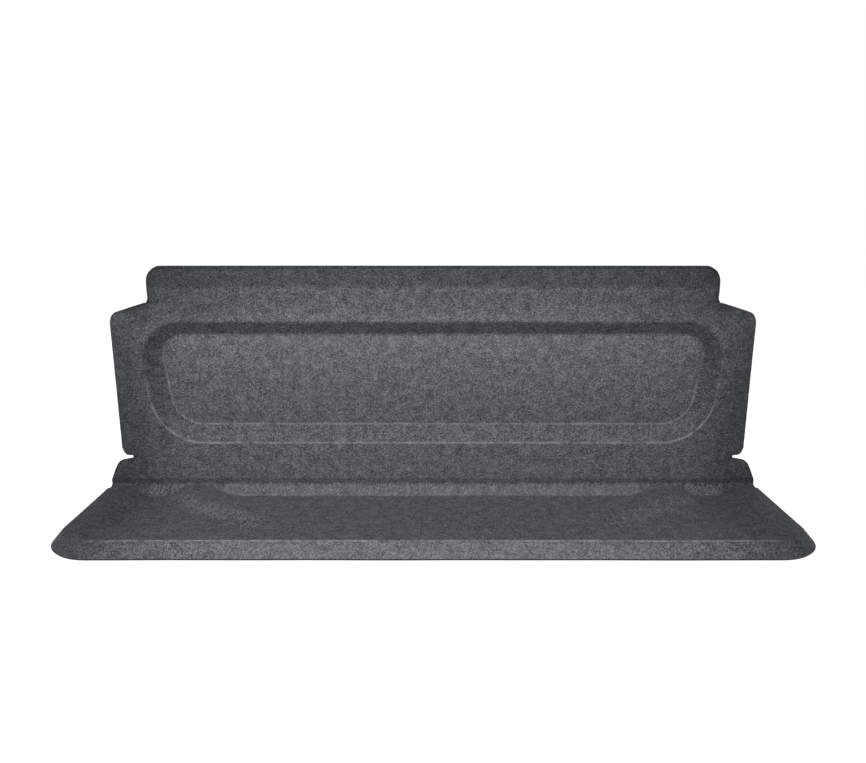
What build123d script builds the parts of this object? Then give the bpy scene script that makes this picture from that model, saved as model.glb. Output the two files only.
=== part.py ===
from build123d import *

import os
from math import atan, cos, radians, tan

# A tailgate section of a truck bed liner: an upright panel, a gap strip and a lower panel,
# moulded from felt carpet backed by closed-cell foam and joined by two pressed living hinges.
# The origin is under the middle of the part, on the surface that it rests on. X runs across the
# truck, the carpet faces look towards -Y and +Z, and heights are given above the lower panel's rim.

# The moulded sheet, from its carpet face inwards
CARPET = 4.0
FOAM = 6.0
SHEET = CARPET + FOAM
CREASE = 3.0  # the felt where a hinge is pressed thin

# Lower panel
LOWER_HALF = 790.0  # half of its width at the rim
LOWER_LENGTH = 316.0  # from the fold to the front edge of the rim
LOWER_CORNER = 76.0
LOWER_DEPTH = 22.0  # of its pressed recesses
LOWER_RUN = 16.0  # width of a recess's sloping wall, in plan
FLANGE_OUT = 27.0  # how far the flange leans out over each FLANGE_DOWN of drop
FLANGE_DOWN = 31.0
FLANGE_EDGE = 5.0  # height at which the carpet of the flange is cut, above the resting surface

# Gap strip and the two folds beside it
FOLD_RADIUS = 14.0  # inside bend between the lower panel and the gap strip
STRIP_FOOT_HALF = 784.0
STRIP_SHOULDER = (763.0, 64.5)  # where the strip's side turns into its top edge
STRIP_SHOULDER_RADIUS = 32.0
NOTCH_HALF = 727.0  # inner end of the slit at each side
NOTCH_HEIGHT = 73.5
NOTCH_GAP = 6.0

# Upper panel
PANEL_HALF = 756.0
PANEL_TOP = 531.0
PANEL_FOOT_CORNER = 18.0
SHOULDER_OUTER = 419.0  # heights of the sloping shoulder at its two ends
SHOULDER_INNER = 447.0
SHOULDER_CORNER = 30.0
TAB_FOOT_HALF = 660.0
TAB_TOP_HALF = 660.0
TAB_CORNER = 40.0
TAB_ROOT_CORNER = 8.0
BAND_HEIGHT = 484.0  # where the leaning top band starts
BAND_LEAN = radians(20)
UPPER_DEPTH = 24.0  # of the recess
UPPER_RUN = 34.0  # width of its sloping wall along the top

# Hook-and-loop fasteners: a loop tape on the foam, a hook tape on that, and a release liner
TAPE_LENGTH = 100.0
TAPE_WIDTH = 25.0
TAPE_CORNER = 3.0
LAYERS = {"loop_tape": 1.3, "hook_tape": 1.4, "tape_liner": 0.3}
LINER_TAB = 12.0  # how much longer the liner is, so that a thumb can lift its end

# Places that follow from these
RIM_Z = LOWER_DEPTH + SHEET + sum(LAYERS.values())  # the lower fasteners rest on the floor
FLANGE_TILT = atan(FLANGE_OUT / FLANGE_DOWN)
FLANGE_RUN = (RIM_Z - FLANGE_EDGE) * tan(FLANGE_TILT)
FOLD_Y = (LOWER_LENGTH + FLANGE_RUN - UPPER_DEPTH - SHEET) / 2  # centres the part on the origin
MARGIN = 20.0  # how far a cutting solid runs past what it cuts

# Corners of the outlines' right-hand halves: (x, height or distance from the fold, corner radius)
UPPER_CORNERS = [
    (PANEL_HALF, NOTCH_HEIGHT + NOTCH_GAP / 2, PANEL_FOOT_CORNER),
    (PANEL_HALF, SHOULDER_OUTER, SHOULDER_CORNER),
    (TAB_FOOT_HALF, SHOULDER_INNER, TAB_ROOT_CORNER),
    (TAB_TOP_HALF, PANEL_TOP, TAB_CORNER),
]
UPPER_RECESS_TOP = 405.0
UPPER_RECESS_RIM = [(659, 109.5, 125), (682, UPPER_RECESS_TOP, 75)]
UPPER_RECESS_FLOOR = [(627, 151, 80), (658, UPPER_RECESS_TOP - UPPER_RUN, 43)]
STRIP_CORNERS = [
    (STRIP_FOOT_HALF, FOLD_RADIUS, 0),
    (*STRIP_SHOULDER, STRIP_SHOULDER_RADIUS),
    (NOTCH_HALF, NOTCH_HEIGHT - NOTCH_GAP / 2, 0),
]
RECESS_BACK, RECESS_FRONT = 16.0, 238.0  # distances of the lower recesses from the fold
CENTRE_RECESS = [(531, RECESS_BACK, 30), (300, RECESS_FRONT, 40)]
SIDE_RECESS = [
    (600, RECESS_BACK, 30),
    (722, RECESS_BACK, 30),
    (722, RECESS_FRONT, 40),
    (385, RECESS_FRONT, 30),
]
UPPER_TAPES = [(-450, 446), (450, 446), (-450, 94), (450, 94), (-716, 250), (716, 250)]
LOWER_TAPES = [(-250, 110), (250, 110), (-640, 150), (640, 150)]


def behind(depth):
    """The upright plane that lies a depth behind the carpet faces of the strip and upper panel."""
    return Plane.XZ.offset(-(FOLD_Y + depth))


def level(height):
    """The level plane at a height above the resting surface."""
    return Plane.XY.offset(height)


def face_from(corners, radii):
    """A face with the given corners, each rounded to its radius, in the sketch being built."""
    with BuildLine() as outline:
        FilletPolyline(corners, radius=radii, close=True)
    make_face(outline.line)


def upright_face(right_half):
    """A face that is the same on both sides of X = 0, from corners given by height."""
    half = [(x, RIM_Z + height) for x, height, _ in right_half]
    radii = [radius for _, _, radius in right_half]
    face_from(half + [(-x, z) for x, z in reversed(half)], radii + radii[::-1])


def plan_face(corners, side=0):
    """A face seen in plan, on one side of X = 0, or on both where side is 0."""
    half = [((side or 1) * x, FOLD_Y - distance) for x, distance, _ in corners]
    radii = [radius for _, _, radius in corners]
    if side:
        face_from(half, radii)
    else:
        face_from(half + [(-x, y) for x, y in reversed(half)], radii + radii[::-1])


def outset(run, drop):
    """How much wider a recess's outer skin is for each millimetre of sheet behind its face."""
    return ((run**2 + drop**2) ** 0.5 - run) / drop


def upper_recess(depth, mode):
    """Adds or cuts the upper panel's recess as it stands a depth into the sheet."""
    ends = []
    for plane, corners in (
        (behind(depth), UPPER_RECESS_RIM),
        (behind(depth + UPPER_DEPTH), UPPER_RECESS_FLOOR),
    ):
        with BuildSketch(plane) as end:
            upright_face(corners)
            if depth:
                offset(amount=depth * outset(UPPER_RUN, UPPER_DEPTH))
        ends.append(end.sketch)
    loft(ends, ruled=True, mode=mode)


def lower_recesses(depth, mode):
    """Adds or cuts the lower panel's three recesses as they stand a depth into the sheet."""
    grow = depth * outset(LOWER_RUN, LOWER_DEPTH)
    for corners, side in ((CENTRE_RECESS, 0), (SIDE_RECESS, -1), (SIDE_RECESS, 1)):
        ends = []
        for drop, inset in ((0, 0), (LOWER_DEPTH, LOWER_RUN)):
            with BuildSketch(level(RIM_Z - depth - drop)) as end:
                plan_face(corners, side)
                if grow != inset:
                    offset(amount=grow - inset)
            ends.append(end.sketch)
        loft(ends, ruled=True, mode=mode)


def side_section(near, far):
    """The upper panel's side section between two depths, with its top band leaning forwards."""
    top = RIM_Z + PANEL_TOP + MARGIN
    points = []
    for depth in (near, far):
        face = FOLD_Y + depth
        bend = RIM_Z + BAND_HEIGHT + depth * tan(BAND_LEAN / 2)
        points.append([(face, RIM_Z), (face, bend), (face - (top - bend) * tan(BAND_LEAN), top)])
    with BuildLine() as outline:
        Polyline(points[0] + points[1][::-1], close=True)
    make_face(outline.line)


def upper_sheet(near, far):
    """The upper panel's solid between two depths into the sheet, without its recess."""
    with BuildSketch(Plane.YZ) as section:
        side_section(near, far)
    extrude(section.sketch, amount=PANEL_HALF + MARGIN, both=True)
    with BuildSketch(behind(0)) as front:
        upright_face(UPPER_CORNERS)
    extrude(front.sketch, amount=SHEET + MARGIN, both=True, mode=Mode.INTERSECT)


def flanged_block(depth, bottom, back, mode):
    """Adds or cuts the solid under the lower panel's skin that lies a depth into the sheet."""
    ends = []
    for height in (RIM_Z - depth, bottom):
        grow = (RIM_Z - height) * tan(FLANGE_TILT) - depth / cos(FLANGE_TILT)
        half = LOWER_HALF + grow
        with BuildSketch(level(height)) as end:
            plan_face([(half, back, 0), (half, LOWER_LENGTH + grow, LOWER_CORNER + grow)])
        ends.append(end.sketch)
    loft(ends, ruled=True, mode=mode)


def lower_sheet(near, far, bottom):
    """The lower panel's solid between two depths into the sheet, cut level at the bottom."""
    flanged_block(near, bottom, FOLD_RADIUS, Mode.ADD)
    flanged_block(far, bottom - MARGIN, FOLD_RADIUS - MARGIN, Mode.SUBTRACT)


def save(piece, name):
    """Labels a finished piece and writes it under its node's name."""
    piece.part.label = name
    export_step(piece.part, f"parts/{name}.step")


os.makedirs("parts", exist_ok=True)

# Lower panel: carpet and foam, pressed together, with the flange round the front and sides
with BuildPart() as lower_carpet:
    lower_sheet(0, CARPET, FLANGE_EDGE)
    lower_recesses(CARPET, Mode.ADD)
    lower_recesses(0, Mode.SUBTRACT)
save(lower_carpet, "lower_carpet")

with BuildPart() as lower_foam:
    lower_sheet(CARPET, SHEET, 0)
    lower_recesses(SHEET, Mode.ADD)
    lower_recesses(CARPET, Mode.SUBTRACT)
save(lower_foam, "lower_foam")

# Gap strip: a flat band with rounded upper corners
for name, near, thickness in (("gap_carpet", 0, CARPET), ("gap_foam", CARPET, FOAM)):
    with BuildPart() as strip_layer:
        with BuildSketch(behind(near)):
            upright_face(STRIP_CORNERS)
        extrude(amount=-thickness)
    save(strip_layer, name)

# Upper panel: carpet and foam, with the recess and the leaning top band
with BuildPart() as upper_carpet:
    upper_sheet(0, CARPET)
    upper_recess(CARPET, Mode.ADD)
    upper_recess(0, Mode.SUBTRACT)
save(upper_carpet, "upper_carpet")

with BuildPart() as upper_foam:
    upper_sheet(CARPET, SHEET)
    upper_recess(SHEET, Mode.ADD)
    upper_recess(CARPET, Mode.SUBTRACT)
save(upper_foam, "upper_foam")

# Lower crease: a quarter bend of thin felt that carries the strip on the lower panel
with BuildPart() as lower_crease:
    with BuildSketch(Plane.YZ):
        with BuildLine():
            centre = (FOLD_Y - FOLD_RADIUS, RIM_Z + FOLD_RADIUS)
            inner = CenterArc(centre, FOLD_RADIUS, -90, 90)
            outer = CenterArc(centre, FOLD_RADIUS + CREASE, -90, 90)
            Line(inner @ 0, outer @ 0)
            Line(inner @ 1, outer @ 1)
        make_face()
    extrude(amount=STRIP_FOOT_HALF, both=True)
save(lower_crease, "lower_crease")

# Upper crease: the thin line of felt between the two slits
with BuildPart() as upper_crease:
    with BuildSketch(behind(0)):
        with Locations((0, RIM_Z + NOTCH_HEIGHT)):
            Rectangle(2 * NOTCH_HALF, NOTCH_GAP)
    extrude(amount=-CREASE)
save(upper_crease, "upper_crease")

# Hook-and-loop fasteners, stacked outwards from the foam behind and under the panels
UPRIGHT, ACROSS = (0, 0, 1), (1, 0, 0)
upper_places = [
    Plane(
        origin=(x, FOLD_Y + SHEET, RIM_Z + height),
        x_dir=ACROSS if abs(x) < TAB_FOOT_HALF else UPRIGHT,  # beside the recess there is no width
        z_dir=(0, 1, 0),
    )
    for x, height in UPPER_TAPES
]
lower_places = [
    Plane(
        origin=(x, FOLD_Y - distance, RIM_Z - LOWER_DEPTH - SHEET),
        x_dir=ACROSS,
        z_dir=(0, 0, -1),
    )
    for x, distance in LOWER_TAPES
]
for panel, places in (("upper", upper_places), ("lower", lower_places)):
    for number, place in enumerate(places, start=1):
        height = 0.0
        for layer, thickness in LAYERS.items():
            length = TAPE_LENGTH + (LINER_TAB if layer == "tape_liner" else 0)
            with BuildPart() as tape:
                with BuildSketch(place.offset(height)):
                    RectangleRounded(length, TAPE_WIDTH, TAPE_CORNER)
                extrude(amount=thickness)
            save(tape, f"{panel}_{layer}_{number}")
            height += thickness
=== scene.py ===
from math import acos, atan, ceil, cos, pi, radians, sin, tan

import bmesh
import bpy
import numpy as np
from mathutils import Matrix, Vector


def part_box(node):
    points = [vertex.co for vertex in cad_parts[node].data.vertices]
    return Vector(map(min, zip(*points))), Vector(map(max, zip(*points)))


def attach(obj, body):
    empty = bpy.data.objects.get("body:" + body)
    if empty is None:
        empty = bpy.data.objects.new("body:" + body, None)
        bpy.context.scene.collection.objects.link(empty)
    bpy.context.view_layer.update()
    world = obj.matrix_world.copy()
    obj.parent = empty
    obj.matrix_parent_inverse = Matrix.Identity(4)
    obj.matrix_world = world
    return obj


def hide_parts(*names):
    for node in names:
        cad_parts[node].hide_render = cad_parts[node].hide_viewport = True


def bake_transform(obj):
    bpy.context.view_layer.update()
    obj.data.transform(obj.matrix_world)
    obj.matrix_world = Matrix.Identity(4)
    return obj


# A tailgate section of a truck bed liner, in metres. Across is X, heights are above the lower panel's
# rim, and distances are measured forwards (towards -Y) from the plane of the gap strip's face.
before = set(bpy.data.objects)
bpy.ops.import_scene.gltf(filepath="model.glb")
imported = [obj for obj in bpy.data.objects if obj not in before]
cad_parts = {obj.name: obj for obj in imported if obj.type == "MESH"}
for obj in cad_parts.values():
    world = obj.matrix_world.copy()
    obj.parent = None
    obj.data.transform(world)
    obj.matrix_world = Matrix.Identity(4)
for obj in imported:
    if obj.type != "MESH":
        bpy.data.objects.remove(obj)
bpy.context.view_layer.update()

# Places taken from the frame
RIM_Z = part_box("lower_carpet")[1].z
FOLD_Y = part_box("gap_carpet")[0].y
PANEL_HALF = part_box("upper_carpet")[1].x
PANEL_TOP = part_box("upper_carpet")[1].z - RIM_Z
NOTCH_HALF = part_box("upper_crease")[1].x
NOTCH_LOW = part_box("upper_crease")[0].z - RIM_Z
NOTCH_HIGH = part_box("upper_crease")[1].z - RIM_Z
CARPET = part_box("gap_carpet")[1].y - FOLD_Y
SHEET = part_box("gap_foam")[1].y - FOLD_Y
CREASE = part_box("upper_crease")[1].y - FOLD_Y

SEAM_HEIGHT = 0.045  # where the lower felt piece meets the upper one, on the flat of the strip
TAB_HALF = 0.661
SHOULDER_HEIGHT = 0.447  # where the shoulder meets the tab
SHOULDER_END = 0.419  # where it meets the panel's side edge

# Outline of the strip and the upper panel, right-hand half, from the fold up: (x, height, radius)
SIDE_CORNERS = [
    (0.786, -0.001, 0),
    (0.785, 0.012, 0),
    (0.777, 0.032, 0.03),
    (0.763, NOTCH_LOW - 0.007, 0.022),
    (NOTCH_HALF, NOTCH_LOW, 0),
    (NOTCH_HALF, NOTCH_HIGH, 0),
    (PANEL_HALF + 0.001, NOTCH_HIGH, 0.018),
    (PANEL_HALF, SHOULDER_END, 0.030),
    (TAB_HALF, SHOULDER_HEIGHT, 0.016),
    (TAB_HALF - 0.004, PANEL_TOP, 0.046),
    (0.0, PANEL_TOP, 0),
]

# The upper panel's recess
UPPER_RIM = [(0.661, 0.1095, 0.125), (0.694, 0.405, 0.088)]
UPPER_FLOOR = [(0.619, 0.151, 0.075), (0.648, 0.371, 0.052)]
UPPER_DEPTH = 0.024
UPPER_CROWN = 0.007  # its floor swells forwards by this in the middle
CROWN_WIDTH = 0.110
# How far the upper panel's face leans forwards at each height, in degrees
LEAN = [
    (0.404, 0), (0.428, 6), (0.447, 11), (0.470, 13), (0.474, 11), (0.479, -3),
    (0.483, -3), (0.492, 18), (0.502, 21), (PANEL_TOP, 23),
]
# How much lighter the felt is at each height, partly where the mould stretched it and partly painted light
# and shade: painted light towards the top of the recess and just above it, painted shade on the top band that
# leans forwards
UPPER_STRETCH_AND_PAINTED_LIGHT = [
    (SEAM_HEIGHT, 0.26), (0.100, 0.16), (0.150, 0.12), (0.280, 0.20), (0.330, 0.26), (0.366, 0.36),
    (0.408, 0.30), (0.440, 0.14), (0.472, 0.06), (0.476, 0.16), (0.482, -0.12), (0.488, -0.20),
    (PANEL_TOP, -0.22),
]
WALL_PAINTED_SHADE = 0.24  # painted shade: how much darker the recess's walls are, fading out towards the bottom one
SHOULDER_PAINTED_SHADE = 0.25  # and the shoulder's upper edge and its corner with the tab
CORNER_WIDTH = 0.035
SHOULDER_WIDTH = 0.018
OUTLINE_PAINTED_SHADE = 0.35  # and a thin margin along the cut edges
OUTLINE_WIDTH = 0.0035
# Painted shade towards the sides: the felt's tone at each distance from the middle, as a share of the
# middle's
SIDE_PAINTED_SHADE = [
    (0.30, 1.0), (0.57, 0.92), (0.614, 0.86), (0.642, 0.77), (0.69, 0.58), (0.72, 0.48), (0.757, 0.40),
]
TOP_SIDE_PAINTED_SHADE = [(0.30, 1.0), (0.45, 0.88), (0.56, 0.70), (0.66, 0.64)]  # and above the recess
TAB_PAINTED_SHADE = 0.28  # and along the tab's own side edges
TAB_SHADE_WIDTH = 0.022
ROLL_WIDTH = 0.062  # the sides of the upper panel and its tab roll back over this width
ROLL_ANGLE = radians(30)
ROLL_POWER = 2.4
HINGE_PRESS = 0.0006  # how deep the face is pressed along the upper hinge
HINGE_WIDTH = 0.0022
# How strongly the light lines show along the recess's rim and its floor, partly burnished fibre and partly
# painted highlight, fading out at a height
RIM_BURNISH_SHEEN, RIM_BURNISH_SHEEN_TOP, RIM_BURNISH_SHEEN_FADE = 0.62, 0.29, 0.16
FLOOR_BURNISH_SHEEN, FLOOR_BURNISH_SHEEN_TOP, FLOOR_BURNISH_SHEEN_FADE = 0.42, 0.385, 0.14
# Rows of the upper meshes, (from height, to height, spacing)
UPPER_ROWS = [
    (SEAM_HEIGHT, NOTCH_LOW - 0.003, 0.005),
    (NOTCH_LOW - 0.003, NOTCH_HIGH + 0.003, 0.001),
    (NOTCH_HIGH + 0.003, 0.104, 0.005),
    (0.104, 0.158, 0.0027),
    (0.158, 0.340, 0.0075),
    (0.340, 0.410, 0.0027),
    (0.410, 0.470, 0.005),
    (0.470, 0.492, 0.0016),
    (0.492, PANEL_TOP, 0.005),
]

# The fold: the strip's face leans back into a pressed groove and rounds out to the rim
GROOVE_TOP = 0.0205
GROOVE_LEAN = radians(19)
GROOVE_BEND = 0.003  # length over which the lean starts
FOLD_RADIUS = 0.0053

# The lower panel: rim outline, recesses and flange
LOWER_HALF = 0.790
LOWER_FRONT = 0.318
LOWER_CORNER = 0.078
LOWER_DEPTH = 0.022
LOWER_BACK = -0.006  # where the recesses' back walls start, just behind the strip's face
BACK_WALL = 0.016  # width of their back walls, and of the others
SLOPE_WALL = 0.038
# Rim outlines of the recesses, (x, distance, radius), carried on past their back walls
CENTRE_RIM = [(0.636, -0.050, 0), (0.235, 0.232, 0.080)]
SIDE_RIM = [
    (0.612, -0.050, 0), (0.740, -0.050, 0), (0.736, 0.248, 0.045), (0.300, 0.248, 0.025),
    (0.596, 0.036, 0.030),
]
RISER_END = 0.015  # the back walls end here, and their felt is lighter, by a share that varies across
RISER_LIGHTER = 0.55
RISER_SHARE = [(0.50, 1.0), (0.548, 0.0), (0.596, 0.0), (0.625, 0.75), (0.675, 0.75), (0.715, 0.0)]
INNER_WALL_LIGHTER = 0.22  # and so is the side recesses' inner wall
# Painted shade towards the lower panel's sides, as a share of the middle's tone
LOWER_SIDE_PAINTED_SHADE = [(0.56, 1.0), (0.61, 0.87), (0.65, 0.80), (0.69, 0.66), (0.73, 0.62), (0.79, 0.66)]
# Painted shade towards the front flange's ends, as a share of its middle's tone
FLANGE_END_PAINTED_SHADE = [(0.60, 1.0), (0.70, 0.90), (0.735, 0.80), (0.765, 0.60)]
RIM_LIGHTER = -0.05  # how much lighter the rim is than the recesses
# How much lighter the front flange is at each distance from the middle, partly from the mould's stretch and
# partly painted light, with painted shade towards its ends; and the painted shade on the flange's two sides
FLANGE_STRETCH_AND_PAINTED_LIGHT = [(0.0, 0.42), (0.42, 0.38), (0.60, 0.10), (0.70, -0.15), (0.78, -0.35)]
FLANGE_SIDE_PAINTED_SHADE = -0.25
FLANGE_BURNISH_SHEEN = 0.8  # how strongly the light line along the flange's bend shows, partly burnished fibre and partly painted highlight
FLANGE_LINE = 0.0038  # and how far down the bend it is
FLANGE_SLOPE = atan(31 / 27)  # below the horizontal
FLANGE_RADIUS = 0.011
FLANGE_DROP = RIM_Z - SHEET * cos(FLANGE_SLOPE)  # down to the carpet's cut edge
FLANGE_START = 0.013  # the flange's back end, and the foam's
FOAM_START = 0.014

# The real felt is one sheet.
CORE = 0.600  # columns of the meshes are straight up to here, and follow the outline outside it
OUTER = 0.790
CUT_PAINTED_SHADE = -0.7  # painted shade: how much darker the felt's cut edges and back are
CUT_DEPTHS = (0.12, 0.5, 0.88)  # rings of vertices round a cut edge, as shares of its thickness
GAP = 0.0001  # between pieces that are bonded together
WAVE_HEIGHT = 0.0005
LINE_REACH = 0.02  # distances to the pressed lines are kept up to this
RIM_TURN = 1.5  # rows turned less than this from upright, in radians, are the strip's and the fold's

# The foam: pinched where the face rolls back, so that its back stays flat under the tapes, and with
# pads under the two highest tapes, where the face leans forwards of them
EDGE_INSET = 0.0015
FOAM_PINCH = 0.0045
PAD_PLACE, PAD_HALF = (0.450, 0.446), (0.052, 0.0145)
PAD_FADE = 0.014
PAD_PRESS = 0.0004

random = np.random.default_rng(11)


# ---------------------------------------------------------------- outlines and profiles


def unit(vector):
    return vector / np.linalg.norm(vector)


def rounded(corners, closed=False, step=radians(7)):
    """Points along an outline of (a, b, radius) corners, each turned with an arc of its radius."""
    points = []
    for i, (a, b, radius) in enumerate(corners):
        corner = np.array((a, b))
        if not radius or (not closed and i in (0, len(corners) - 1)):
            points.append(corner)
            continue
        before = unit(np.array(corners[i - 1][:2]) - corner)
        after = unit(np.array(corners[(i + 1) % len(corners)][:2]) - corner)
        half = acos(before @ after) / 2
        centre = corner + unit(before + after) * radius / sin(half)
        first = corner + before * radius / tan(half) - centre
        last = corner + after * radius / tan(half) - centre
        turn = pi - 2 * half
        for t in np.linspace(0, 1, ceil(turn / step) + 1):
            points.append(centre + (sin((1 - t) * turn) * first + sin(t * turn) * last) / sin(turn))
    return np.array(points)


def both_sides(half):
    """The corners of a closed outline that is the same on both sides of X = 0."""
    return half + [(-a, b, radius) for a, b, radius in reversed(half)]


def inside(outline, a, b):
    """Distance inside a closed outline, negative outside it."""
    shape = np.shape(a)
    points = np.column_stack((np.ravel(a), np.ravel(b)))
    nearest = np.full(len(points), np.inf)
    crossings = np.zeros(len(points), int)
    for start, end in zip(outline, np.roll(outline, -1, axis=0)):
        run = end - start
        along = np.clip((points - start) @ run / (run @ run), 0, 1)
        nearest = np.minimum(nearest, np.hypot(*(points - start - along[:, None] * run).T))
        spans = (start[1] > points[:, 1]) != (end[1] > points[:, 1])
        if run[1]:
            reach = start[0] + (points[:, 1] - start[1]) / run[1] * run[0]
            crossings += spans & (points[:, 0] < reach)
    return np.where(crossings % 2, nearest, -nearest).reshape(shape)


def smooth(t):
    t = np.clip(t, 0, 1)
    return t * t * (3 - 2 * t)


def ramp(t, soft):
    """0 below 0, 1 above 1 and straight between, with both bends rounded over a share of the run."""
    bend = lambda s: np.where(s < -soft, 0, np.where(s > soft, s, (s + soft) ** 2 / (4 * soft)))
    return bend(t) - bend(t - 1)


def spaced(*spans):
    """Positions along (start, end, spacing) spans laid end to end."""
    runs = [np.linspace(start, end, max(2, round(abs(end - start) / gap) + 1)) for start, end, gap in spans]
    return np.concatenate([runs[0]] + [run[1:] for run in runs[1:]])


SIDE = rounded(SIDE_CORNERS)[:-1]
LEAN_AT = np.linspace(0, PANEL_TOP, 1200)
LEAN_TAN = np.tan(np.radians(np.interp(LEAN_AT, *np.array(LEAN).T)))
FORWARD = np.concatenate(([0], np.cumsum((LEAN_TAN[1:] + LEAN_TAN[:-1]) / 2 * np.diff(LEAN_AT))))
UPPER_RIM_LINE = rounded(both_sides(UPPER_RIM), closed=True)
UPPER_FLOOR_LINE = rounded(both_sides(UPPER_FLOOR), closed=True)
CENTRE_LINE = rounded(both_sides(CENTRE_RIM), closed=True)
SIDE_LINE = rounded(SIDE_RIM, closed=True)

WAVES = [
    (random.uniform(6, 26) * np.array((cos(turn), sin(turn))), random.uniform(0, 2 * pi))
    for turn in random.uniform(0, pi, 9)
]


def waves(x, s):
    """The slight unevenness of moulded felt, about 1 either way."""
    return sum(np.sin(pitch[0] * x + pitch[1] * s + phase) for pitch, phase in WAVES) / len(WAVES) ** 0.5


# ---------------------------------------------------------------- surfaces


def grid_faces(rows, columns):
    """Quads of a grid of vertices numbered row by row."""
    at = np.arange(rows * columns).reshape(rows, columns)
    return np.stack((at[:-1, :-1], at[:-1, 1:], at[1:, 1:], at[1:, :-1]), axis=-1).reshape(-1, 4)


def columns_for(half, cell):
    """X of every column in each row: straight in the middle, drawn in to the row's half width outside."""
    across = spaced((-OUTER, -CORE, cell), (-CORE, CORE, cell), (CORE, OUTER, cell))
    reach = (np.asarray(half)[:, None] - CORE) / (OUTER - CORE)
    return np.where(abs(across) > CORE, np.sign(across) * (CORE + (abs(across) - CORE) * reach), across)


def look_up(value, table):
    """A value from a table of (place, value), straight between its rows."""
    return np.interp(value, *np.array(table).T)


def edge_roll(x, height):
    """How far the faces roll back towards their left and right edges."""
    half = np.where(height > SHOULDER_HEIGHT, TAB_HALF, PANEL_HALF)
    near = np.clip(1 - (half - abs(x)) / ROLL_WIDTH, 0, 1.0)
    wide = ROLL_WIDTH * tan(ROLL_ANGLE) * near**ROLL_POWER / ROLL_POWER
    return wide * smooth((height - SEAM_HEIGHT) / 0.04)


def upper_face(x, height):
    """Y of the face of the strip and upper panel, without the recess."""
    return FOLD_Y - np.interp(height, LEAN_AT, FORWARD) + edge_roll(x, height)


def upper_heights(low, high, cell):
    """Heights of the mesh's rows between two heights, with a row at each point of the outline."""
    edge = SIDE[(SIDE[:, 1] >= low) & (SIDE[:, 1] <= high)]
    fine = spaced(*UPPER_ROWS)
    fine = fine[(fine > low + 0.001) & (fine < high - 0.001)]
    every = max(1, round(cell / 0.008))
    height = np.unique(np.round(np.concatenate(([low, high], fine[::every], edge[:, 1])), 5))
    return height[np.concatenate(([True], np.diff(height) > 0.00025))]


def upper_tone_and_painted_shade(x, z, from_edge, into_rim, off_floor):
    """How much lighter or darker than usual the felt is, all over the strip and upper panel: mostly painted
    light and shade, with some lightening from the mould's stretch.
    """
    by_height = look_up(z, UPPER_STRETCH_AND_PAINTED_LIGHT)
    on_tab = smooth((z - SHOULDER_HEIGHT + 0.02) / 0.035)
    stretch = by_height - TAB_PAINTED_SHADE * np.exp(-((from_edge / TAB_SHADE_WIDTH) ** 2)) * on_tab
    wall = smooth(into_rim / 0.008) * smooth((off_floor + 0.009) / 0.014)
    stretch -= wall * (WALL_PAINTED_SHADE * smooth((z - 0.12) / 0.12) + by_height * smooth((z - 0.25) / 0.1))
    from_corner = np.hypot(abs(x) - TAB_HALF - 0.02, z - SHOULDER_HEIGHT + 0.02)
    stretch -= SHOULDER_PAINTED_SHADE * np.exp(-((from_corner / CORNER_WIDTH) ** 2))
    along_shoulder = (abs(x) - TAB_HALF) / (PANEL_HALF - TAB_HALF)
    below_shoulder = SHOULDER_HEIGHT - (SHOULDER_HEIGHT - SHOULDER_END) * along_shoulder - z
    on_shoulder = smooth((abs(x) - TAB_HALF + 0.015) / 0.015)
    stretch -= SHOULDER_PAINTED_SHADE * np.exp(-((below_shoulder / SHOULDER_WIDTH) ** 2)) * on_shoulder
    stretch -= OUTLINE_PAINTED_SHADE * np.exp(-((np.minimum(from_edge, PANEL_TOP - z) / OUTLINE_WIDTH) ** 2))
    top = smooth((z - 0.380) / 0.035)
    tone = look_up(abs(x), SIDE_PAINTED_SHADE) * (1 - top) + look_up(abs(x), TOP_SIDE_PAINTED_SHADE) * top
    return (1 + stretch) * tone - 1


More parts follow.
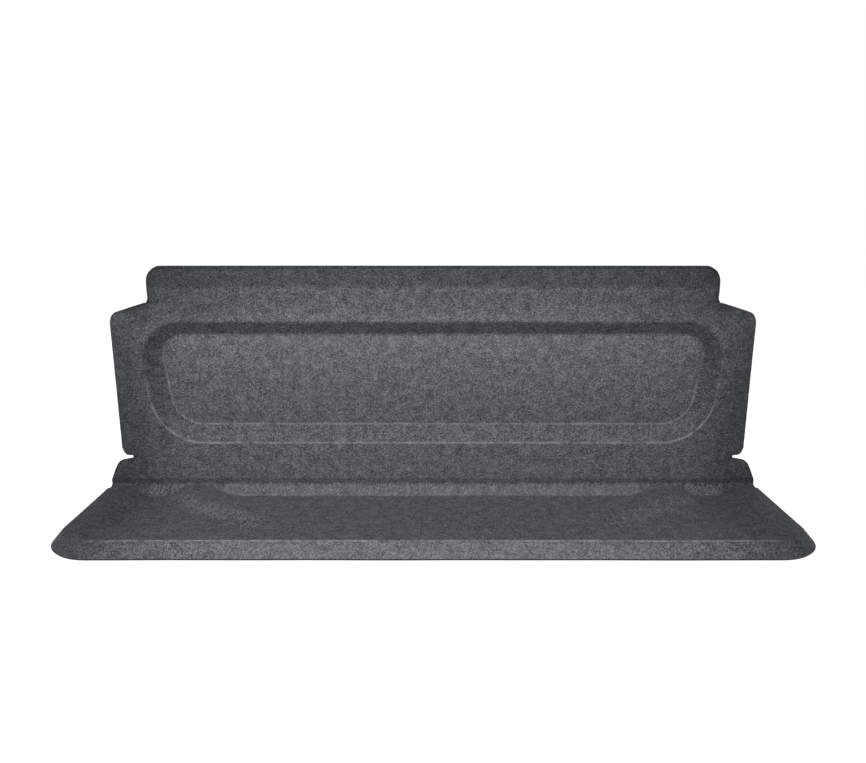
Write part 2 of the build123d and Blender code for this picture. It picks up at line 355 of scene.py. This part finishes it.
def upper_surface(low, high, cell, inset=0.0):
    """The strip and upper panel between two heights, as face points, normals and surface data."""
    height = upper_heights(low, high, cell)
    half = np.interp(height, SIDE[:, 1], SIDE[:, 0]) - inset
    x = columns_for(half, cell)
    z = np.repeat(height[:, None], x.shape[1], axis=1)
    step = 0.001
    slope_x = (upper_face(x + step, z) - upper_face(x - step, z)) / (2 * step)
    slope_z = (upper_face(x, z + step) - upper_face(x, z - step)) / (2 * step)
    normal = np.stack((slope_x, -np.ones_like(x), slope_z), axis=-1)
    normal /= np.linalg.norm(normal, axis=-1, keepdims=True)
    into_rim = inside(UPPER_RIM_LINE, x, z)
    off_floor = -inside(UPPER_FLOOR_LINE, x, z)
    share = into_rim / np.maximum(into_rim + off_floor, 0.004)
    hinge = HINGE_PRESS * np.exp(-(((z - (NOTCH_LOW + NOTCH_HIGH) / 2) / HINGE_WIDTH) ** 2))
    crown = UPPER_CROWN * (1 - (1 - np.clip(-off_floor / CROWN_WIDTH, 0, 1)) ** 2)
    relief = UPPER_DEPTH * ramp(share, 0.1) - crown + hinge + WAVE_HEIGHT * waves(x, z)
    point = np.stack((x, upper_face(x, z) + relief, RIM_Z + z), axis=-1)
    press_1 = RIM_BURNISH_SHEEN * np.clip((RIM_BURNISH_SHEEN_TOP - z) / RIM_BURNISH_SHEEN_FADE, 0, 1)
    press_2 = FLOOR_BURNISH_SHEEN * np.clip((FLOOR_BURNISH_SHEEN_TOP - z) / FLOOR_BURNISH_SHEEN_FADE, 0, 1)
    from_edge = np.repeat(half[:, None], x.shape[1], axis=1) - abs(x)
    return {
        "point": point.reshape(-1, 3),
        "normal": normal.reshape(-1, 3),
        "sheet": np.stack((x, z), axis=-1).reshape(-1, 2),
        "press_1": press_1.ravel(),
        "press_2": press_2.ravel(),
        "line_1": np.clip(into_rim, -LINE_REACH, LINE_REACH).ravel(),
        "line_2": np.clip(off_floor, -LINE_REACH, LINE_REACH).ravel(),
        "stretch": upper_tone_and_painted_shade(x, z, from_edge, into_rim, off_floor).ravel(),
        "faces": grid_faces(*x.shape),
    }


def fold_profile():
    """Distance, height and turn from upright, down the strip's groove and round to the rim."""
    foot = FOLD_RADIUS * (1 + sin(GROOVE_LEAN))
    straight = (GROOVE_TOP - GROOVE_BEND * cos(GROOVE_LEAN / 2) - foot) / cos(GROOVE_LEAN)
    runs = [
        (GROOVE_BEND, 0, -GROOVE_LEAN, 4),
        (straight, -GROOVE_LEAN, -GROOVE_LEAN, 6),
        (FOLD_RADIUS * (pi / 2 + GROOVE_LEAN), -GROOVE_LEAN, pi / 2, 14),
    ]
    rows = [(0.0, GROOVE_TOP, 0.0)]
    for length, first, last, steps in runs:
        for step in range(steps):
            middle = first + (last - first) * (step + 0.5) / steps
            distance, height, _ = rows[-1]
            turn = first + (last - first) * (step + 1) / steps
            forth, down = sin(middle) * length / steps, cos(middle) * length / steps
            rows.append((distance + forth, height - down, turn))
    return rows


def lower_rows(with_strip):
    """Rows of the lower surface: distance, height, turn, half width, and the outline's plan normal."""
    fold = fold_profile()
    side = lambda height: np.interp(height, SIDE[:, 1], SIDE[:, 0])
    rows = []
    if with_strip:
        strip = spaced((SEAM_HEIGHT, GROOVE_TOP, 0.005))
        rows += [(0.0, height, 0.0, side(height), 1.0, 0.0) for height in strip]
        rows += [(distance, height, turn, side(height), 1.0, 0.0) for distance, height, turn in fold[1:-1]]
    bend = FLANGE_RADIUS * tan(FLANGE_SLOPE / 2)
    half, front, corner = LOWER_HALF - bend, LOWER_FRONT - bend, LOWER_CORNER - bend
    start = fold[-1][0] if with_strip else FOAM_START
    flat = spaced((start, 0.022, 0.0014), (0.022, 0.212, 0.0052), (0.212, front - corner, 0.003))
    rows += [(distance, 0.0, pi / 2, half, 1.0, 0.0) for distance in flat[:-1]]
    for turn in np.linspace(0, pi / 2, 18):
        distance = front - corner * (1 - sin(turn))
        rows.append((distance, 0.0, pi / 2, half - corner * (1 - cos(turn)), cos(turn), sin(turn)))
    return np.array(rows)


def lower_relief(x, distance):
    """Depth of the lower panel's three pressed recesses."""
    depth = ramp(inside(CENTRE_LINE, x, distance) / SLOPE_WALL, 0.2)
    depth += ramp(inside(SIDE_LINE, abs(x), distance) / SLOPE_WALL, 0.2)
    return LOWER_DEPTH * depth * ramp((distance - LOWER_BACK) / BACK_WALL, 0.2)


def lower_tone_and_painted_shade(x, along, half, turn, sink):
    """How much lighter or darker than usual the felt is, on the lower panel and below the seam: painted shade
    towards the sides and along the cut edges, and lighter back walls.
    """
    near = smooth((along + 0.008) / 0.005) * smooth((RISER_END - along) / 0.005)
    riser = near * smooth(lower_relief(x, along + 0.014) / LOWER_DEPTH * 1.5) * look_up(abs(x), RISER_SHARE)
    inner = np.clip(inside(SIDE_LINE, abs(x), along) / SLOPE_WALL, 0, 1)
    inner = 4 * inner * (1 - inner) * smooth((0.64 - abs(x)) / 0.02)
    inner = inner * smooth((along - 0.025) / 0.02) * smooth((0.25 - along) / 0.10)
    lower_share = smooth((along + 0.012) / 0.01)
    stretch = UPPER_STRETCH_AND_PAINTED_LIGHT[0][1] * (1 - lower_share)
    stretch = stretch + RIM_LIGHTER * (1 - sink / LOWER_DEPTH) * (along > 0)
    tone = look_up(abs(x), SIDE_PAINTED_SHADE) * (1 - lower_share) + look_up(abs(x), LOWER_SIDE_PAINTED_SHADE) * lower_share
    stretch = (1 + stretch) * tone - 1 + RISER_LIGHTER * riser + INNER_WALL_LIGHTER * inner
    return stretch - OUTLINE_PAINTED_SHADE * np.exp(-(((half - abs(x)) / OUTLINE_WIDTH) ** 2)) * (turn < RIM_TURN)


def flange_profile(drop):
    """Rows of the flange from the rim's edge: out, down, slope and length along it."""
    straight = (drop - FLANGE_RADIUS * (1 - cos(FLANGE_SLOPE))) / sin(FLANGE_SLOPE)
    turns = [FLANGE_SLOPE * t for t in np.linspace(0, 1, 8)[1:]]
    rows = [(FLANGE_RADIUS * sin(a), FLANGE_RADIUS * (1 - cos(a)), a, FLANGE_RADIUS * a) for a in turns]
    out, down, slope, length = rows[-1]
    for run in spaced((0, straight - 0.005, 0.005), (straight - 0.005, straight, 0.0016))[1:]:
        rows.append((out + run * cos(slope), down + run * sin(slope), slope, length + run))
    return rows


def lower_surface(cell, drop, with_strip):
    """The lower panel with its flange, and the strip up to the seam with the upper piece."""
    distance, height, turn, half, plan_x, plan_y = lower_rows(with_strip).T
    length = np.concatenate(([0], np.cumsum(np.hypot(np.diff(distance), np.diff(height)))))
    flat = int(np.argmax(turn > pi / 2 - 0.001))  # where the rim starts
    along = distance[flat] + length - length[flat]  # the same as distance on the rim, and follows the fold
    x = columns_for(half, cell)
    rows, columns = x.shape
    spread = lambda values: np.repeat(values[:, None], columns, axis=1)
    sink = lower_relief(x, spread(along))
    sheet = np.stack((x, spread(height[0] - length)), axis=-1)
    point = np.stack((x, FOLD_Y - spread(distance), RIM_Z + spread(height) - sink), axis=-1)
    normal = np.stack((0 * x, -spread(np.cos(turn)), spread(np.sin(turn))), axis=-1)
    point = point - normal * (WAVE_HEIGHT * waves(x, sheet[..., 1]))[..., None]
    stretch = lower_tone_and_painted_shade(x, spread(along), spread(half), spread(turn), sink)
    # The flange is swept round the open edge: back to front on the left, across, and back again
    first = int(np.argmax((distance > FLANGE_START) & (turn > RIM_TURN)))
    last = rows - 1
    ring = [(row, 0) for row in range(first, last)] + [(last, column) for column in range(columns)]
    ring += [(row, columns - 1) for row in range(last - 1, first - 1, -1)]
    at = np.array([row * columns + column for row, column in ring])
    plan = np.array([(np.sign(column - columns / 2) * plan_x[row], plan_y[row]) for row, column in ring])
    outward = np.column_stack((plan[:, 0], -plan[:, 1]))
    point, normal, sheet, stretch = (
        values.reshape(rows * columns, -1) for values in (point, normal, sheet, stretch)
    )
    across = abs(point[at, :1])
    ring_burnish_sheen = FLANGE_BURNISH_SHEEN * plan[:, 1:] * smooth((0.76 - across) / 0.16)
    front = (1 + look_up(across, FLANGE_STRETCH_AND_PAINTED_LIGHT)) * look_up(across, FLANGE_END_PAINTED_SHADE) - 1
    lighter = FLANGE_SIDE_PAINTED_SHADE + (front - FLANGE_SIDE_PAINTED_SHADE) * plan[:, 1:] ** 2
    burnish_sheen, line = np.zeros((len(point), 1)), np.full((len(point), 1), LINE_REACH)
    burnish_sheen[at], line[at] = ring_burnish_sheen, -FLANGE_LINE
    parts = {"point": [point], "normal": [normal], "sheet": [sheet], "stretch": [stretch]}
    parts.update({"press_1": [burnish_sheen], "line_1": [line]})
    profile = flange_profile(drop)
    for out, down, slope, length in profile:
        level = np.ones(len(at))
        parts["point"].append(point[at] + np.column_stack((outward * out, -down * level)))
        parts["normal"].append(np.column_stack((outward * sin(slope), cos(slope) * level)))
        parts["sheet"].append(sheet[at] + outward * length)
        parts["stretch"].append(stretch[at] + (lighter - stretch[at]) * smooth(length / 0.012))
        parts["press_1"].append(ring_burnish_sheen)
        parts["line_1"].append(np.full((len(at), 1), length - FLANGE_LINE))
    swept = len(point) + np.arange(len(profile) * len(at)).reshape(len(profile), -1)
    rings = np.concatenate((at[None], swept))
    flange = np.stack((rings[:-1, :-1], rings[:-1, 1:], rings[1:, 1:], rings[1:, :-1]), axis=-1)
    surface = {key: np.concatenate(values) for key, values in parts.items()}
    surface.update({key: surface[key].ravel() for key in ("press_1", "stretch", "line_1")})
    surface["line_2"] = surface["press_2"] = 0 * surface["line_1"]
    surface["faces"] = np.concatenate((grid_faces(rows, columns), flange.reshape(-1, 4)))
    return surface


# ---------------------------------------------------------------- closed sheets


def skin(surface, near, far, bulge, fuzz=0.0):
    """Front, back and rounded cut edges of a sheet between two depths: points, faces, and data."""
    point, normal, faces = surface["point"], surface["normal"], surface["faces"]
    count = len(point)
    front, back = point - normal * near, point - normal * np.reshape(far, (-1, 1))
    pairs = faces[:, [0, 1, 1, 2, 2, 3, 3, 0]].reshape(-1, 2)
    known = set(map(tuple, pairs.tolist()))
    open_edges = np.array([(a, b) for a, b in known if (b, a) not in known])
    open_edges = open_edges[np.lexsort(open_edges.T)]
    along = point[open_edges[:, 1]] - point[open_edges[:, 0]]
    along /= np.maximum(np.linalg.norm(along, axis=1, keepdims=True), 1e-9)
    outward = np.zeros((count, 3))
    for end in (0, 1):
        np.add.at(outward, open_edges[:, end], np.cross(along, normal[open_edges[:, end]]))
    edge = np.unique(open_edges)
    middle = point[faces].mean(axis=1)
    toward = np.zeros((count, 3))
    np.add.at(toward, faces.ravel(), np.repeat(middle, 4, axis=0) - point[faces.ravel()])
    outward = outward[edge] / np.maximum(np.linalg.norm(outward[edge], axis=1, keepdims=True), 1e-9)
    outward *= -np.sign((outward * toward[edge]).sum(axis=1, keepdims=True))
    rings, values = [], [front, back]
    amount = np.reshape(bulge, (-1, 1)) * np.ones((count, 1))
    for depth in CUT_DEPTHS:
        rough = 1 + fuzz * random.normal(size=(len(edge), 1))
        swell = amount[edge] * (1 - abs(2 * depth - 1) ** 2) ** 0.5 * rough
        values.append(front[edge] + (back[edge] - front[edge]) * depth + outward * swell)
        rings.append(2 * count + len(rings) * len(edge))
    place = np.zeros(count, int)
    place[edge] = np.arange(len(edge))
    a, b = open_edges.T
    stack = [(a, b)] + [(start + place[a], start + place[b]) for start in rings] + [(count + a, count + b)]
    walls = [np.column_stack((a1, a2, b2, b1)) for (a1, b1), (a2, b2) in zip(stack, stack[1:])]
    sheet = np.concatenate((surface["sheet"],) * 2 + (surface["sheet"][edge],) * len(CUT_DEPTHS))
    depths = [np.full(count, near), np.broadcast_to(far, count)]
    depths += [np.full(len(edge), depth * CARPET) for depth in CUT_DEPTHS]
    data = {"sheet": np.column_stack((sheet, np.concatenate(depths)))}
    elsewhere = {"press_1": 0.0, "press_2": 0.0, "line_1": LINE_REACH, "line_2": LINE_REACH}
    for key, value in (*elsewhere.items(), ("stretch", CUT_PAINTED_SHADE)):
        data[key] = np.concatenate((surface[key], np.full(count + len(CUT_DEPTHS) * len(edge), value)))
    return np.concatenate(values), np.concatenate([faces, faces[:, ::-1] + count] + walls), data


def piece(name, points, faces, data, material, sharp=40):
    """A Blender object from points and faces, with its surface data as mesh attributes."""
    mesh = bpy.data.meshes.new(name)
    mesh.from_pydata(points.tolist(), [], faces.tolist())
    work = bmesh.new()
    work.from_mesh(mesh)
    bmesh.ops.recalc_face_normals(work, faces=work.faces)
    work.to_mesh(mesh)
    work.free()
    for key, values in data.items():
        kind, field = ("FLOAT_VECTOR", "vector") if np.ndim(values) == 2 else ("FLOAT", "value")
        mesh.attributes.new(key, kind, "POINT").data.foreach_set(field, np.ravel(values).astype(np.float32))
    mesh.polygons.foreach_set("use_smooth", np.ones(len(mesh.polygons), bool))
    mesh.set_sharp_from_angle(angle=radians(sharp))
    mesh.materials.append(material)
    made = bpy.data.objects.new(name, mesh)
    bpy.context.scene.collection.objects.link(made)
    return made


# ---------------------------------------------------------------- materials


def add(tree, kind, inputs=None, **settings):
    """A node with its settings, and its inputs linked from sockets or set to values."""
    made = tree.nodes.new("ShaderNode" + kind)
    for key, value in settings.items():
        setattr(made, key, value)
    for key, value in (inputs or {}).items():
        if isinstance(value, bpy.types.NodeSocket):
            tree.links.new(value, made.inputs[key])
        else:
            made.inputs[key].default_value = value
    return made


def math(tree, operation, a, b=0.0, c=0.0):
    return add(tree, "Math", {0: a, 1: b, 2: c}, operation=operation).outputs[0]


def noise(tree, where, scale, detail=2.0, rough=0.5, stretch=(1, 1, 1), turn=0.0):
    """Noise about 0 to 1 over a place vector, stretched and turned in the sheet."""
    if turn:
        where = add(tree, "VectorRotate", {"Vector": where, "Angle": turn}, rotation_type="Z_AXIS").outputs[0]
    if stretch != (1, 1, 1):
        where = add(tree, "Mapping", {"Vector": where, "Scale": stretch}).outputs[0]
    inputs = {"Vector": where, "Scale": scale, "Detail": detail, "Roughness": rough}
    return add(tree, "TexNoise", inputs).outputs["Fac"]


def blend_colour(tree, factor, first, second, mode="MIX"):
    made = add(tree, "Mix", {0: factor, 6: first, 7: second}, data_type="RGBA", blend_type=mode)
    return made.outputs[2]


def spread_range(tree, value, low, high, to_low=0.0, to_high=1.0):
    inputs = {"Value": value, "From Min": low, "From Max": high, "To Min": to_low, "To Max": to_high}
    return add(tree, "MapRange", inputs).outputs[0]


def new_material(name, roughness, specular=0.5):
    material = bpy.data.materials.new(name)
    material.use_nodes = True
    shader = material.node_tree.nodes["Principled BSDF"]
    shader.inputs["Roughness"].default_value = roughness
    shader.inputs["Specular IOR Level"].default_value = specular
    return material, material.node_tree, shader


def strands(tree, place, scale, directions, low, high):
    """Short straight fibres lying in several directions, each drawn out of a stretched noise."""
    fibres = None
    for index in range(directions):
        turn = 0.35 + scale + index * pi / directions
        strand = spread_range(tree, noise(tree, place, scale, 1.0, 0.5, (1, 0.16, 1), turn), low, high)
        fibres = strand if fibres is None else math(tree, "MAXIMUM", fibres, strand)
    return fibres


def weighted(tree, start, *parts):
    """A start value with each part's difference from its own middle added at its weight."""
    total = start
    for value, middle, weight in parts:
        total = math(tree, "ADD", total, math(tree, "MULTIPLY_ADD", value, weight, -middle * weight))
    return total


def burnish_sheen_line(tree, number):
    """A narrow line where the distance stored for it is 0, at the strength stored for it."""
    away = math(tree, "ABSOLUTE", add(tree, "Attribute", attribute_name=f"line_{number}").outputs["Fac"])
    strength = add(tree, "Attribute", attribute_name=f"press_{number}").outputs["Fac"]
    return math(tree, "MULTIPLY", spread_range(tree, away, 0.0006, 0.0034, 1.0, 0.0), strength)


def felt_material():
    """Needle-punched felt: matted fibres of several greys, lighter along the mould's pressed lines, partly
    burnished fibre and partly painted highlight, and with painted light and shade from the stretch attribute.
    """
    material, tree, shader = new_material("felt", 0.95, 0.15)
    place = add(tree, "Attribute", attribute_name="sheet").outputs["Vector"]
    speck = noise(tree, place, 290, 1.0, 0.55)
    matting = noise(tree, place, 38, 3.0, 1.0)
    fine = strands(tree, place, 1000, 4, 0.52, 0.70)
    light = strands(tree, place, 480, 3, 0.60, 0.74)
    dark = strands(tree, place, 430, 3, 0.60, 0.76)
    mats = ((speck, 0.5, 1.10), (matting, 0.5, 0.95))
    fibres = ((fine, 0.5, 0.11), (light, 0.15, 0.38), (dark, 0.15, -0.12))
    tone = math(tree, "MAXIMUM", weighted(tree, 0.45, *mats, *fibres), 0.0)
    tone = math(tree, "MULTIPLY", math(tree, "POWER", tone, 1.5), 1.45)  # few light fibres on a darker mat
    colour = blend_colour(tree, tone, FELT_DARK, FELT_LIGHT)
    hue = spread_range(tree, noise(tree, place, 7, 4.0, 0.85), 0.32, 0.68)
    colour = blend_colour(tree, 1.0, colour, blend_colour(tree, hue, FELT_COOL, FELT_WARM), "MULTIPLY")
    # The stretch attribute holds painted light and shade as well as the mould's stretch
    stretch = add(tree, "Attribute", attribute_name="stretch").outputs["Fac"]
    thinned = spread_range(tree, stretch, 0.2, 0.5, 0.0, 0.35)  # smoother where the stretch value is high, from the mould's stretch and from painted light
    colour = blend_colour(tree, thinned, colour, FELT_MEAN)
    stretch = math(tree, "ADD", stretch, 1.0)
    colour = add(tree, "VectorMath", {0: colour, "Scale": stretch}, operation="SCALE").outputs[0]
    burnish_sheen = math(tree, "ADD", burnish_sheen_line(tree, 1), burnish_sheen_line(tree, 2))
    broken = spread_range(tree, noise(tree, place, 24, 4.0, 0.9), 0.38, 0.60, 0.15, 1.05)
    pressed = math(tree, "MINIMUM", math(tree, "MULTIPLY", burnish_sheen, broken), 1.0)
    colour = blend_colour(tree, pressed, colour, FELT_BURNISH_SHEEN)
    tree.links.new(colour, shader.inputs["Base Color"])
    height = weighted(tree, 0.0, (fine, 0.0, 0.5), (light, 0.0, 0.5), (speck, 0.0, 1.0))
    bump = add(tree, "Bump", {"Strength": 0.3, "Distance": 0.001, "Height": height})
    tree.links.new(bump.outputs[0], shader.inputs["Normal"])
    shader.inputs["Sheen Weight"].default_value = 0.04
    shader.inputs["Sheen Roughness"].default_value = 0.6
    return material


def foam_material():
    """Closed-cell foam: black, matt, with fine cells and a few larger ones."""
    material, tree, shader = new_material("foam", 0.85, 0.3)
    place = add(tree, "Attribute", attribute_name="sheet").outputs["Vector"]
    cells = add(tree, "TexVoronoi", {"Vector": place, "Scale": 650.0}, feature="SMOOTH_F1")
    pores = add(tree, "TexVoronoi", {"Vector": place, "Scale": 210.0, "Randomness": 1.0})
    pits = spread_range(tree, pores.outputs["Distance"], 0.08, 0.25)
    cloud = spread_range(tree, noise(tree, place, 22, 4.0, 0.65), 0.3, 0.7, 0.55, 1.0)
    speckle = spread_range(tree, noise(tree, place, 260, 2.0, 0.7), 0.3, 0.7, 0.5, 1.0)
    rubbed = spread_range(tree, noise(tree, place, 60, 4.0, 0.7, (1, 0.12, 1), 0.5), 0.56, 0.74, 0.0, 0.5)
    tone = math(tree, "MULTIPLY", math(tree, "MULTIPLY", pits, cloud), speckle)
    colour = blend_colour(tree, tone, FOAM_DARK, FOAM_LIGHT)
    tree.links.new(blend_colour(tree, rubbed, colour, FOAM_RUBBED), shader.inputs["Base Color"])
    shallow = math(tree, "MULTIPLY", cells.outputs["Distance"], 0.5)
    height = math(tree, "ADD", shallow, math(tree, "ADD", pits, speckle))
    bump = add(tree, "Bump", {"Strength": 0.5, "Distance": 0.001, "Height": height})
    tree.links.new(bump.outputs[0], shader.inputs["Normal"])
    return material


def tape_material(name, dark, light, scale, roughness):
    """A tape or its liner, mottled at a fine scale."""
    material, tree, shader = new_material(name, roughness, 0.3)
    place = add(tree, "TexCoord").outputs["Object"]
    grain = spread_range(tree, noise(tree, place, scale, 3.0, 0.6), 0.3, 0.7)
    tree.links.new(blend_colour(tree, grain, dark, light), shader.inputs["Base Color"])
    bump = add(tree, "Bump", {"Strength": 0.4, "Distance": 0.0003, "Height": grain})
    tree.links.new(bump.outputs[0], shader.inputs["Normal"])
    return material


FELT_DARK = (0.0095, 0.0098, 0.0103, 1)
FELT_LIGHT = (0.109, 0.1135, 0.118, 1)
FELT_MEAN = (0.055, 0.057, 0.059, 1)
FELT_COOL = (0.965, 1.0, 1.035, 1)
FELT_WARM = (1.03, 1.0, 0.975, 1)
# Colour of the pressed lines: burnished fibre and painted highlight
FELT_BURNISH_SHEEN = (0.185, 0.189, 0.193, 1)
FOAM_DARK = (0.006, 0.006, 0.007, 1)
FOAM_LIGHT = (0.034, 0.034, 0.037, 1)
FOAM_RUBBED = (0.042, 0.042, 0.045, 1)

felt = felt_material()
foam = foam_material()
tapes = {
    "loop_tape": tape_material("loop", (0.008, 0.008, 0.009, 1), (0.035, 0.035, 0.038, 1), 900, 0.9),
    "hook_tape": tape_material("hook", (0.010, 0.010, 0.011, 1), (0.025, 0.025, 0.027, 1), 1500, 0.5),
    "tape_liner": tape_material("liner", (0.70, 0.67, 0.58, 1), (0.78, 0.75, 0.67, 1), 120, 0.55),
}

# ---------------------------------------------------------------- pieces


FELT_BULGE, FOAM_BULGE = 0.0009, 0.0014  # how far the middle of a cut edge stands out
FELT_FUZZ = 0.25


def felt_depth(surface, centre, width):
    """Depth of the felt's back, thinner along a pressed hinge."""
    near = np.exp(-(((surface["sheet"][:, 1] - centre) / width) ** 2))
    return CARPET - (CARPET - CREASE) * near


def felt_piece(name, surface, depth):
    """A felt sheet with soft cut edges, flat where the two felt pieces meet."""
    across, along = surface["sheet"].T
    on_seam = (abs(along - SEAM_HEIGHT) < 0.0001) & (abs(across) < SIDE[:, 0].max() - 0.03)
    made = piece(name, *skin(surface, 0.0, depth, np.where(on_seam, 0.0, FELT_BULGE), FELT_FUZZ), felt)
    return made


def tape_pads(x, height):
    """How much thicker the foam is under the highest tapes, so that they lie on it."""
    across = smooth((abs(abs(x) - PAD_PLACE[0]) - PAD_HALF[0]) / PAD_FADE)
    up = smooth((abs(height - PAD_PLACE[1]) - PAD_HALF[1]) / PAD_FADE)
    forward = np.maximum(np.interp(height, LEAN_AT, FORWARD), 0)
    return (forward + PAD_PRESS) * (1 - across) * (1 - up)


def foam_piece(name, body, node, surface, depth):
    """A foam sheet behind the felt, in place of its CAD node."""
    made = piece(name, *skin(surface, CARPET + GAP, depth, FOAM_BULGE), foam)
    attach(made, body)
    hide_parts(node)


upper = upper_surface(SEAM_HEIGHT, PANEL_TOP, 0.005)
felt_upper = felt_piece("felt_upper", upper, felt_depth(upper, (NOTCH_LOW + NOTCH_HIGH) / 2, 0.004))
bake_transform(felt_upper)
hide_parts("gap_carpet", "upper_crease", "upper_carpet")

lower = lower_surface(0.005, FLANGE_DROP, True)
felt_lower = felt_piece("felt_lower", lower, felt_depth(lower, 0.006, 0.012))
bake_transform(felt_lower)
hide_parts("lower_carpet", "lower_crease")

backing = upper_surface(NOTCH_HIGH + 0.001, PANEL_TOP - EDGE_INSET, 0.008, EDGE_INSET)
depth = SHEET + (tape_pads(*backing["sheet"].T) - np.minimum(edge_roll(*backing["sheet"].T), FOAM_PINCH))
foam_piece("foam_upper", "upper_panel", "upper_foam", backing, depth)
backing = upper_surface(0.0225, NOTCH_LOW - 0.001, 0.008, EDGE_INSET)
foam_piece("foam_gap", "gap_strip", "gap_foam", backing, SHEET)
foam_piece("foam_lower", "lower_panel", "lower_foam", lower_surface(0.008, FLANGE_DROP, False), SHEET)

for node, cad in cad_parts.items():
    for kind, material in tapes.items():
        if kind in node:
            cad.data.materials.clear()
            cad.data.materials.append(material)

# ---------------------------------------------------------------- studio


def softbox(name, place, target, size, power, colour=(1, 1, 1)):
    """A soft rectangular light that the camera doesn't see."""
    light = bpy.data.lights.new(name, "AREA")
    light.shape, light.size, light.size_y = "RECTANGLE", size[0], size[1]
    light.energy, light.color = power, colour
    made = bpy.data.objects.new(name, light)
    made.location = place
    made.visible_camera = False
    made.rotation_euler = (Vector(target) - made.location).to_track_quat("-Z", "Y").to_euler()
    bpy.context.scene.collection.objects.link(made)


FLOOR_GLOW = 0.985  # keeps the floor evenly pale to the horizon


def studio_floor():
    """A plain pale floor."""
    half = 9.0
    corners = [(-half, -half, 0), (half, -half, 0), (half, half, 0), (-half, half, 0)]
    mesh = bpy.data.meshes.new("floor")
    mesh.from_pydata(corners, [], [(0, 1, 2, 3)])
    material, tree, shader = new_material("floor", 0.9, 0.1)
    shader.inputs["Base Color"].default_value = (0.2, 0.2, 0.2, 1)
    shader.inputs["Emission Color"].default_value = (1, 1, 1, 1)
    shader.inputs["Emission Strength"].default_value = FLOOR_GLOW
    mesh.materials.append(material)
    floor = bpy.data.objects.new("floor", mesh)
    floor.location.z = -0.0005
    bpy.context.scene.collection.objects.link(floor)


def pale_surroundings(strength, seen):
    """Even light from all round, with a paler colour where the camera sees it."""
    world = bpy.data.worlds.new("studio")
    world.use_nodes = True
    tree = world.node_tree
    background = tree.nodes["Background"]
    background.inputs["Color"].default_value = (1, 1, 1, 1)
    path = add(tree, "LightPath").outputs["Is Camera Ray"]
    tree.links.new(math(tree, "MULTIPLY_ADD", path, seen - strength, strength), background.inputs["Strength"])
    bpy.context.scene.world = world


studio_floor()
pale_surroundings(0.05, 1.0)
softbox("key", (-0.5, -2.2, 2.5), (0, 0.1, 0.2), (0.9, 0.6), 170, (0.97, 1.0, 1.04))
softbox("low", (-0.1, -1.35, 0.18), (0, 0.15, 0.15), (1.0, 0.25), 4.5)
softbox("behind", (0.4, 2.8, 1.6), (0, 0.1, 0.2), (2.4, 1.2), 60)

camera = bpy.data.objects.new("camera", bpy.data.cameras.new("camera"))
camera.location = (-0.008, FOLD_Y - 1.788, RIM_Z + 0.677)
camera.rotation_euler = (radians(75.55), 0, 0)
camera.data.sensor_width = 36
camera.data.lens = 32.26
camera.data.shift_x = 0.004
camera.data.shift_y = 0.0214
bpy.context.scene.collection.objects.link(camera)
bpy.context.scene.camera = camera
bpy.context.scene.view_settings.view_transform = "Standard"
